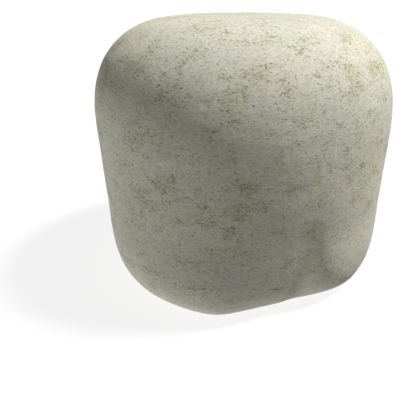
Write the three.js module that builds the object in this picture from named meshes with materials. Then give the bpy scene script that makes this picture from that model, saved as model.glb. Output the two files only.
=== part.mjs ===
// A tall drum of natural-rind cheese, pressed and aged as one piece, standing on its level base.
// Millimetres, +Z up, origin at the middle of the base. The front, with the slumped edge, faces -Y.

import * as THREE from "three";

// Driving dimensions
const RADIUS = 100;              // where the drum is widest, at the foot of the shoulder
const HEIGHT = 176;
const TOP_FLAT_RADIUS = 34;      // the level middle of the top
const SHOULDER_HEIGHT = 65;      // how far down from the top the round shoulder reaches
const SHOULDER_POWER = 2.45;     // 2 makes an ellipse, more makes a squarer corner
const WALL_TAPER = 2;            // the wall leans in by this much on its way down to the foot
const BASE_FLAT_RADIUS = 68;     // the level middle of the base
const FOOT_HEIGHT = 56;          // how far up from the base the round foot reaches
const FOOT_POWER = 3.5;

// Marks where the cheese settled on its lower front while it was still soft. Each is a smooth patch that is
// strongest at the foot and gone at height "top". Its centre and its reach to each side are in degrees,
// counted to the right from the front. It moves the surface inward and upward, a minus sign outward.
const SLUMPED_EDGE = { centre: 23, left: 38, right: 32, top: 92, inward: 8, upward: 13 };
const CREASE = { centre: 24.5, left: 7, right: 7, top: 88, inward: 2.5, upward: 0 };
const SOFT_CORNER = { centre: 33, left: 8, right: 18, top: 66, inward: -3, upward: 0 };
const FLATTENED_SIDE = { centre: 54, left: 16, right: 16, top: 78, inward: 1, upward: 0 };
const MARKS = [SLUMPED_EDGE, CREASE, SOFT_CORNER, FLATTENED_SIDE];

// How finely the surface is divided
const STEPS_AROUND = 120;
const STEPS_TOP = 3;
const STEPS_SHOULDER = 14;
const STEPS_WALL = 4;
const STEPS_FOOT = 14;
const STEPS_BASE = 2;

const RIND = new THREE.MeshStandardMaterial({ color: 0xcbc8b3, roughness: 0.9, metalness: 0 });

// A straight run of steps from one point of the outline towards the next, leaving out its far end.
function straight(from, to, steps) {
  const points = [];
  for (let step = 0; step < steps; step += 1) {
    points.push(from.clone().lerp(to, step / steps));
  }
  return points;
}

// A quarter of a rounded corner, from the flat (t = 0) to the wall (t = 1), leaving out its far end.
// Both radius and height follow a superellipse of the given power.
function corner(flatRadius, flatHeight, wallRadius, wallHeight, power, steps) {
  const points = [];
  for (let step = 0; step < steps; step += 1) {
    const turn = (step / steps) * (Math.PI / 2);
    const outward = Math.sin(turn) ** (2 / power);
    const towardsFlat = Math.cos(turn) ** (2 / power);
    points.push(new THREE.Vector2(
      flatRadius + (wallRadius - flatRadius) * outward,
      wallHeight + (flatHeight - wallHeight) * towardsFlat,
    ));
  }
  return points;
}

// Half of the drum's cross-section, from the middle of the base out and up to the middle of the top.
function outline() {
  const wallFoot = RADIUS - WALL_TAPER;
  const wallTop = HEIGHT - SHOULDER_HEIGHT;
  const base = straight(new THREE.Vector2(0, 0), new THREE.Vector2(BASE_FLAT_RADIUS, 0), STEPS_BASE);
  const foot = corner(BASE_FLAT_RADIUS, 0, wallFoot, FOOT_HEIGHT, FOOT_POWER, STEPS_FOOT);
  const wall = straight(
    new THREE.Vector2(wallFoot, FOOT_HEIGHT),
    new THREE.Vector2(RADIUS, wallTop),
    STEPS_WALL,
  );
  const downShoulder = corner(TOP_FLAT_RADIUS, HEIGHT, RADIUS, wallTop, SHOULDER_POWER, STEPS_SHOULDER);
  const widest = new THREE.Vector2(RADIUS, wallTop);
  const top = straight(new THREE.Vector2(0, HEIGHT), new THREE.Vector2(TOP_FLAT_RADIUS, HEIGHT), STEPS_TOP);
  const downFromTop = [...top, ...downShoulder, widest];
  return [...base, ...foot, ...wall, ...downFromTop.reverse()];
}

// How strongly a mark is felt at an angle from the front: 1 at its centre and 0 at both ends of its reach.
function across(mark, degrees) {
  const offset = degrees - mark.centre;
  const reach = offset < 0 ? mark.left : mark.right;
  const share = Math.min(Math.abs(offset) / reach, 1);
  return (1 - share * share) ** 2;
}

// How strongly a mark is felt at a height: 1 at the base and 0 at its top.
function upwards(mark, height) {
  return 1 - THREE.MathUtils.smoothstep(height, 0, mark.top);
}

// Moves each point of the turned drum by the marks. The level part of the base stays as it is.
function settle(drum) {
  const position = drum.getAttribute("position");
  const point = new THREE.Vector3();
  for (let index = 0; index < position.count; index += 1) {
    point.fromBufferAttribute(position, index);
    const radius = Math.hypot(point.x, point.y);
    const degrees = THREE.MathUtils.radToDeg(Math.atan2(point.x, -point.y));
    const offTheBase = THREE.MathUtils.smoothstep(radius, BASE_FLAT_RADIUS, RADIUS);
    const height = point.z;
    let inward = 0;
    for (const mark of MARKS) {
      const strength = offTheBase * across(mark, degrees) * upwards(mark, height);
      inward += mark.inward * strength;
      point.z += mark.upward * strength;
    }
    const shrink = radius > 0 ? 1 - inward / radius : 1;
    position.setXYZ(index, point.x * shrink, point.y * shrink, point.z);
  }
}

function cheeseWheel() {
  const drum = new THREE.LatheGeometry(outline(), STEPS_AROUND);
  drum.rotateX(Math.PI / 2);
  settle(drum);
  drum.computeVertexNormals();
  const mesh = new THREE.Mesh(drum, RIND);
  mesh.name = "cheese_wheel";
  return mesh;
}

const cheese = new THREE.Group();
cheese.add(cheeseWheel());

export default cheese;
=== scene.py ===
"""A tall drum of natural-rind cheese on a pale floor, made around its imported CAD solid.

Metres, +Z up, the front faces -Y. The rind is one fine mesh laid on the CAD solid, roughened in code, with a
procedural material: pale warm grey, olive mould flecks and patches, and faint rose and blue-grey stains.
"""

import math

import bpy
import numpy as np
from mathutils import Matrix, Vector, noise
from mathutils.bvhtree import BVHTree


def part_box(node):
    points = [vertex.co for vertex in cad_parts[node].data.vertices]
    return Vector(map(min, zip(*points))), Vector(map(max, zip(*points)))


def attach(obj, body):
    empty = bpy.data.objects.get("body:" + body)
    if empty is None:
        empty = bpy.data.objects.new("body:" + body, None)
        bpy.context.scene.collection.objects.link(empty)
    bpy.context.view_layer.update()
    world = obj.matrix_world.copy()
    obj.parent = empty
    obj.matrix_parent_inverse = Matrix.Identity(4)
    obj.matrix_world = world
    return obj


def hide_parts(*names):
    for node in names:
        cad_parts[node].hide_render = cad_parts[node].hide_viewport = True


MM = 0.001

# Rind mesh: a cube's six faces, each a square grid, blown out onto the solid
GRID = 128                  # squares along a cube face
SMOOTHING_PASSES = 8        # evens out the CAD solid's facets
REST_HEIGHT = 1.5 * MM      # the rind is left smooth up to here, so that the base sits flat
ISLAND_MARGIN = 0.008       # bare edge round each cube face in the UV map, as a share of the face

# Relief of the rind, in millimetres: how far it stands out, and how wide it is
SWELLS = (0.6, 70)
RIPPLES = (0.25, 26)
GRAIN = (0.07, 8)
FINE_GRAIN = (0.06, 3.6)
PIT_DEPTH = 0.35
PIT_SPACING = 11

# Colours of the rind, as 0..255 screen values
WARM_GROUND = (210, 207, 187)
COOL_GROUND = (203, 204, 186)
ROSE_STAIN = (210, 200, 187)
BLUE_STAIN = (196, 198, 195)
BARE_PATCH = (216, 215, 203)
GRAIN_HOLLOW = (170, 168, 148)
GRAIN_CREST = (224, 222, 206)
MOULD_HAZE = (172, 174, 130)
MOULD_THREAD = (138, 136, 105)
MOULD_OLIVE = (128, 128, 92)
MOULD_BROWN = (138, 122, 102)

# Mould crowds in belts round the drum: middle height and half width of each, as shares of the drum's height
MOULD_BELTS = ((0.85, 0.1), (0.5, 0.15))

# Camera: distances from the drum's axis and base, in radii of the drum
CAMERA_AWAY = 3.115
CAMERA_UP = 1.922
CAMERA_DOWNWARD = math.radians(22.9)
CAMERA_FIELD = math.radians(50)
CAMERA_SHIFT = (-0.0803, -0.0749)

# Light: directions are a bearing to the right from the front and a height, in degrees
KEY_FROM = (91, 57)
KEY_STRENGTH = 4.65
KEY_WIDTH = math.radians(10)
BOUNCE_FROM = (-106, -61)
BOUNCE_STRENGTH = 2.36
BOUNCE_TIGHTNESS = 2.6
AMBIENT_STRENGTH = 0.116

FLOOR_HALF_WIDTH = 30


# ---------------------------------------------------------------- rind mesh


def cube_grid():
    """The cube's surface: lattice points in 0..GRID, quads, and each quad corner's place in the UV map."""
    step = np.arange(GRID + 1)
    first, second = np.meshgrid(step, step, indexing="ij")
    start = np.arange(GRID)
    row, column = np.meshgrid(start, start, indexing="ij")
    row, column = row.ravel(), column.ravel()
    width = GRID + 1
    ring = np.stack(
        [row * width + column, (row + 1) * width + column,
         (row + 1) * width + column + 1, row * width + column + 1],
        axis=1,
    )
    points, quads, uvs = [], [], []
    for face in range(6):
        axis, side = face % 3, (face // 3) * GRID
        lattice = np.zeros((width, width, 3), int)
        lattice[..., axis] = side
        lattice[..., (axis + 1) % 3] = first
        lattice[..., (axis + 2) % 3] = second
        outward = ring if side else ring[:, ::-1]
        points.append(lattice.reshape(-1, 3))
        quads.append(outward + face * width * width)
        across = (face % 3 + ISLAND_MARGIN + (1 - 2 * ISLAND_MARGIN) * first / GRID) / 3
        up = (face // 3 + ISLAND_MARGIN + (1 - 2 * ISLAND_MARGIN) * second / GRID) / 2
        uvs.append(np.stack([across.ravel(), up.ravel()], axis=1)[outward])
    points, index = np.unique(np.concatenate(points), axis=0, return_inverse=True)
    return points, index.reshape(-1)[np.concatenate(quads)], np.concatenate(uvs)


def lay_on_solid(points, node):
    """Sends each lattice point out from the middle of the CAD solid to its surface."""
    low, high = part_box(node.name)
    middle = (low + high) / 2
    tree = BVHTree.FromObject(node, bpy.context.evaluated_depsgraph_get())
    directions = np.tan((points / GRID * 2 - 1) * math.pi / 4)
    surface = [tree.ray_cast(middle, Vector(direction))[0] for direction in directions]
    return np.array(surface)


def smooth(positions, quads, passes):
    """Moves each point halfway to the middle of its neighbours, a few times over."""
    ends = np.concatenate([quads, np.roll(quads, 1, axis=1)]).ravel()
    others = np.concatenate([np.roll(quads, 1, axis=1), quads]).ravel()
    count = np.bincount(ends, minlength=len(positions))
    for _ in range(passes):
        sums = [np.bincount(ends, positions[others, axis], len(positions)) for axis in range(3)]
        positions = positions / 2 + np.stack(sums, axis=1) / count[:, None] / 2
    return positions


def mesh_of(name, positions, quads, uvs):
    mesh = bpy.data.meshes.new(name)
    mesh.from_pydata(positions.tolist(), [], quads.tolist())
    layer = mesh.uv_layers.new(name="OFBake")
    layer.data.foreach_set("uv", uvs.ravel())
    mesh.polygons.foreach_set("use_smooth", [True] * len(mesh.polygons))
    mesh.update()
    return mesh


def rise(value, low, high):
    """0 below low, 1 above high and a smooth step between."""
    share = min(max((value - low) / (high - low), 0), 1)
    return share * share * (3 - 2 * share)


def bumps(place, height, width):
    return height * noise.noise(place / width)


def roughness_at(point):
    """How far the rind stands out from the plain drum at a point, in millimetres."""
    place = point / MM
    ripple_offset = Vector((9, 4, 2)) * RIPPLES[1]
    swell = bumps(place, *SWELLS) + bumps(place + ripple_offset, *RIPPLES)
    grain = bumps(place, *GRAIN) + bumps(place, *FINE_GRAIN)
    distances, centres = noise.voronoi(place / PIT_SPACING)
    chance = abs(noise.cell(centres[0] * 7.3))
    pit = chance * PIT_DEPTH * (1 - rise(distances[0], 0.05, 0.25))
    return swell + grain - pit


def roughen(mesh):
    """Gives the smooth drum the swells, grain and pits of a dried rind, but keeps its base level."""
    count = len(mesh.vertices)
    positions = np.empty(count * 3)
    normals = np.empty(count * 3)
    mesh.vertices.foreach_get("co", positions)
    mesh.vertex_normals.foreach_get("vector", normals)
    positions, normals = positions.reshape(-1, 3), normals.reshape(-1, 3)
    off_floor = np.clip(positions[:, 2] / REST_HEIGHT, 0, 1)
    stand = np.array([roughness_at(Vector(position)) for position in positions])
    positions = positions + normals * (stand * off_floor * MM)[:, None]
    positions[:, 2] = np.maximum(positions[:, 2], 0)
    mesh.vertices.foreach_set("co", positions.ravel())
    mesh.update()


def mould_growth(positions):
    """How much mould favours each point of the rind: 1 in the middle of a belt, 0 far from both."""
    height = positions[:, 2] / positions[:, 2].max()
    return sum(np.exp(-((height - middle) / half_width) ** 2) for middle, half_width in MOULD_BELTS)


def make_rind(node):
    points, quads, uvs = cube_grid()
    positions = smooth(lay_on_solid(points, node), quads, SMOOTHING_PASSES)
    mesh = mesh_of("cheese_rind", positions, quads, uvs)
    mesh.attributes.new("mould", "FLOAT", "POINT").data.foreach_set("value", mould_growth(positions))
    roughen(mesh)
    rind = bpy.data.objects.new("cheese_rind", mesh)
    bpy.context.scene.collection.objects.link(rind)
    return rind


# ---------------------------------------------------------------- materials


def srgb(color):
    """A colour given in 0..255 screen values, as the linear colour that a shader takes."""
    shares = [value / 255 for value in color]
    linear = [share / 12.92 if share <= 0.04045 else ((share + 0.055) / 1.055) ** 2.4 for share in shares]
    return (*linear, 1)


def add(tree, kind, inputs=None, **settings):
    """A new node. Each input is a value, or another node's output to link to."""
    made = tree.nodes.new(kind)
    for name, value in settings.items():
        setattr(made, name, value)
    for name, value in (inputs or {}).items():
        if isinstance(value, bpy.types.NodeSocket):
            tree.links.new(value, made.inputs[name])
        else:
            made.inputs[name].default_value = value
    return made


def field(tree, place, size, seed, detail=2.0, roughness=0.5, distortion=0.0):
    """Cloudy noise from 0 to 1 whose blobs are about size across. Another seed gives other clouds."""
    offset = (seed * 1.7, seed * 0.9, seed * 2.3)
    moved = add(tree, "ShaderNodeVectorMath", {0: place, 1: offset}, operation="ADD")
    inputs = {
        "Vector": moved.outputs[0],
        "Scale": 1 / size,
        "Detail": detail,
        "Roughness": roughness,
        "Distortion": distortion,
    }
    return add(tree, "ShaderNodeTexNoise", inputs).outputs[0]


def step_between(tree, value, low, high, start=0.0, end=1.0):
    """start where the value is below low, end where it is above high, and a smooth change between."""
    inputs = {"Value": value, "From Min": low, "From Max": high, "To Min": start, "To Max": end}
    return add(tree, "ShaderNodeMapRange", inputs, interpolation_type="SMOOTHSTEP").outputs[0]


def math_node(tree, operation, *values):
    return add(tree, "ShaderNodeMath", dict(enumerate(values)), operation=operation).outputs[0]


def tint(tree, strength, under, over, blend="MIX"):
    """The colour under, changed towards the colour over by strength."""
    inputs = {0: strength, 6: under, 7: over}
    return add(tree, "ShaderNodeMix", inputs, data_type="RGBA", blend_type=blend).outputs[2]


def strokes(tree, place, size, seed, width):
    """Short curved hairlines, 1 on a line and 0 beside it, drawn where a noise passes its middle value."""
    wander = field(tree, place, size, seed, detail=1, distortion=0.6)
    off_line = math_node(tree, "ABSOLUTE", math_node(tree, "SUBTRACT", wander, 0.5))
    line = step_between(tree, off_line, width / 3, width, start=1, end=0)
    broken = step_between(tree, field(tree, place, size * 0.7, seed + 20, detail=1), 0.47, 0.56)
    return math_node(tree, "MULTIPLY", line, broken)


def rind_material():
    material = bpy.data.materials.new("natural_rind")
    material.use_nodes = True
    tree = material.node_tree
    tree.nodes.clear()

    place = add(tree, "ShaderNodeTexCoord").outputs["Object"]
    drawn_out = add(tree, "ShaderNodeMapping", {"Vector": place, "Scale": (1, 1, 2)}).outputs[0]

    # Dry ground, with faint stains and bare patches
    clouds = field(tree, drawn_out, 50 * MM, 1, detail=3)
    color = tint(tree, step_between(tree, clouds, 0.35, 0.65), srgb(WARM_GROUND), srgb(COOL_GROUND))
    rose = step_between(tree, field(tree, place, 8 * MM, 2, detail=3), 0.48, 0.7, end=0.65)
    color = tint(tree, rose, color, srgb(ROSE_STAIN))
    blue = step_between(tree, field(tree, place, 10 * MM, 3, detail=3), 0.5, 0.7, end=0.4)
    color = tint(tree, blue, color, srgb(BLUE_STAIN))
    bare = step_between(tree, field(tree, drawn_out, 24 * MM, 10, detail=3), 0.56, 0.66)
    color = tint(tree, math_node(tree, "MULTIPLY", bare, 0.4), color, srgb(BARE_PATCH))
    grain = field(tree, drawn_out, 1.7 * MM, 4, detail=2, roughness=0.6)
    color = tint(tree, step_between(tree, grain, 0.34, 0.52, start=0.3, end=0), color, srgb(GRAIN_HOLLOW))
    color = tint(tree, step_between(tree, grain, 0.5, 0.66, end=0.3), color, srgb(GRAIN_CREST))

    # Where the mould crowds: in chance patches with ragged edges, more and larger ones in the belts
    belt = add(tree, "ShaderNodeAttribute", attribute_name="mould").outputs["Fac"]
    ragged = field(tree, drawn_out, 17 * MM, 44, detail=5, roughness=0.6)
    growth = math_node(tree, "MULTIPLY_ADD", belt, 0.07, ragged)
    crowding = step_between(tree, growth, 0.48, 0.72)
    haze = step_between(tree, growth, 0.52, 0.78, end=0.5)
    color = tint(tree, haze, color, srgb(MOULD_HAZE))

    # The mould: hairlines, and dots that thicken in the patches
    threads = math_node(tree, "MAXIMUM", strokes(tree, drawn_out, 5 * MM, 7, 0.03),
                        strokes(tree, drawn_out, 2.6 * MM, 8, 0.045))
    shown = step_between(tree, crowding, 0, 1, start=0.42, end=0.85)
    threads = math_node(tree, "MULTIPLY", threads, shown)
    color = tint(tree, threads, color, srgb(MOULD_THREAD))
    specks = math_node(tree, "MULTIPLY_ADD", crowding, 0.09, field(tree, drawn_out, 1.95 * MM, 9, detail=1))
    dots = step_between(tree, specks, 0.63, 0.75, end=0.68)
    browning = step_between(tree, field(tree, place, 30 * MM, 11), 0.4, 0.6)
    dot_color = tint(tree, browning, srgb(MOULD_OLIVE), srgb(MOULD_BROWN))
    color = tint(tree, dots, color, dot_color)

    growths = math_node(tree, "MAXIMUM", threads, dots)
    relief = math_node(tree, "SUBTRACT", grain, growths)
    bump = add(tree, "ShaderNodeBump", {"Height": relief, "Strength": 0.5, "Distance": 0.12 * MM})
    dryness = step_between(tree, grain, 0.3, 0.7, start=0.96, end=0.84)
    surface = add(tree, "ShaderNodeBsdfPrincipled", {
        "Base Color": color,
        "Roughness": dryness,
        "Specular IOR Level": 0.3,
        "Normal": bump.outputs[0],
    })
    add(tree, "ShaderNodeOutputMaterial", {"Surface": surface.outputs[0]})
    return material


def floor_material():
    """White paper that glows a little, so that the shadow on it stays faint."""
    material = bpy.data.materials.new("pale_floor")
    material.use_nodes = True
    surface = material.node_tree.nodes["Principled BSDF"]
    surface.inputs["Base Color"].default_value = (0.14, 0.14, 0.14, 1)
    surface.inputs["Roughness"].default_value = 1
    surface.inputs["Specular IOR Level"].default_value = 0
    surface.inputs["Emission Color"].default_value = (1, 1, 1, 1)
    surface.inputs["Emission Strength"].default_value = 0.86
    return material


# ---------------------------------------------------------------- stage


def make_floor():
    """A wide white floor. It neither lights nor shades the rind: the light it would send up is in the world."""
    half = FLOOR_HALF_WIDTH
    mesh = bpy.data.meshes.new("floor")
    corners = [(-half, -half, 0), (half, -half, 0), (half, half, 0), (-half, half, 0)]
    mesh.from_pydata(corners, [], [(0, 1, 2, 3)])
    mesh.materials.append(floor_material())
    floor = bpy.data.objects.new("floor", mesh)
    floor.visible_diffuse = False
    floor.visible_glossy = False
    floor.visible_shadow = False
    bpy.context.scene.collection.objects.link(floor)
    return floor


def make_camera(radius):
    data = bpy.data.cameras.new("camera")
    data.sensor_width = 36
    data.lens = data.sensor_width / 2 / math.tan(CAMERA_FIELD / 2)
    data.shift_x, data.shift_y = CAMERA_SHIFT
    data.clip_start = 0.01
    camera = bpy.data.objects.new("camera", data)
    camera.location = (0, -CAMERA_AWAY * radius, CAMERA_UP * radius)
    camera.rotation_euler = (math.pi / 2 - CAMERA_DOWNWARD, 0, 0)
    bpy.context.scene.collection.objects.link(camera)
    bpy.context.scene.camera = camera


def towards(bearing, height):
    """The direction at a bearing, counted to the right from the front, and a height, both in degrees."""
    turn, climb = math.radians(bearing), math.radians(height)
    return Vector((math.sin(turn) * math.cos(climb), -math.cos(turn) * math.cos(climb), math.sin(climb)))


def make_key():
    """The main lamp, high on the right."""
    data = bpy.data.lights.new("key", "SUN")
    data.energy = KEY_STRENGTH
    data.angle = KEY_WIDTH
    lamp = bpy.data.objects.new("key", data)
    lamp.rotation_euler = towards(*KEY_FROM).to_track_quat("Z", "Y").to_euler()
    bpy.context.scene.collection.objects.link(lamp)


def make_world():
    """Dim light all round, and light bounced up from one side, as by a white sweep. The sweep shows white."""
    world = bpy.data.worlds.new("studio")
    world.use_nodes = True
    tree = world.node_tree
    tree.nodes.clear()
    direction = add(tree, "ShaderNodeTexCoord").outputs["Generated"]
    inputs = {0: direction, 1: towards(*BOUNCE_FROM)}
    facing = add(tree, "ShaderNodeVectorMath", inputs, operation="DOT_PRODUCT").outputs["Value"]
    nearness = math_node(tree, "POWER", math_node(tree, "MAXIMUM", facing, 0), BOUNCE_TIGHTNESS)
    level = math_node(tree, "MULTIPLY_ADD", nearness, BOUNCE_STRENGTH, AMBIENT_STRENGTH)
    light = add(tree, "ShaderNodeBackground", {"Color": (1, 1, 1, 1), "Strength": level})
    sweep = add(tree, "ShaderNodeBackground", {"Color": (1, 1, 1, 1), "Strength": 1})
    seen = add(tree, "ShaderNodeLightPath").outputs["Is Camera Ray"]
    mixed = add(tree, "ShaderNodeMixShader", {0: seen, 1: light.outputs[0], 2: sweep.outputs[0]})
    add(tree, "ShaderNodeOutputWorld", {"Surface": mixed.outputs[0]})
    bpy.context.scene.world = world


# ---------------------------------------------------------------- scene

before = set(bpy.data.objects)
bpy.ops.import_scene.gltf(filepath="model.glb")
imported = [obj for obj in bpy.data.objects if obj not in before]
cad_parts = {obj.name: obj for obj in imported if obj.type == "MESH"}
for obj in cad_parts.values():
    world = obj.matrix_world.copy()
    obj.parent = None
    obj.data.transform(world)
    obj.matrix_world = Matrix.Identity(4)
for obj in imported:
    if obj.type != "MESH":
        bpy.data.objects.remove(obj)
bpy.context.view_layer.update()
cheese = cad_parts["cheese_wheel"]
low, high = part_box("cheese_wheel")

make_camera(radius=(high.x - low.x) / 2)
make_key()
make_world()
make_floor()
bpy.context.scene.view_settings.view_transform = "Standard"

rind = make_rind(cheese)
rind.data.materials.append(rind_material())
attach(rind, "root")
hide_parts("cheese_wheel")
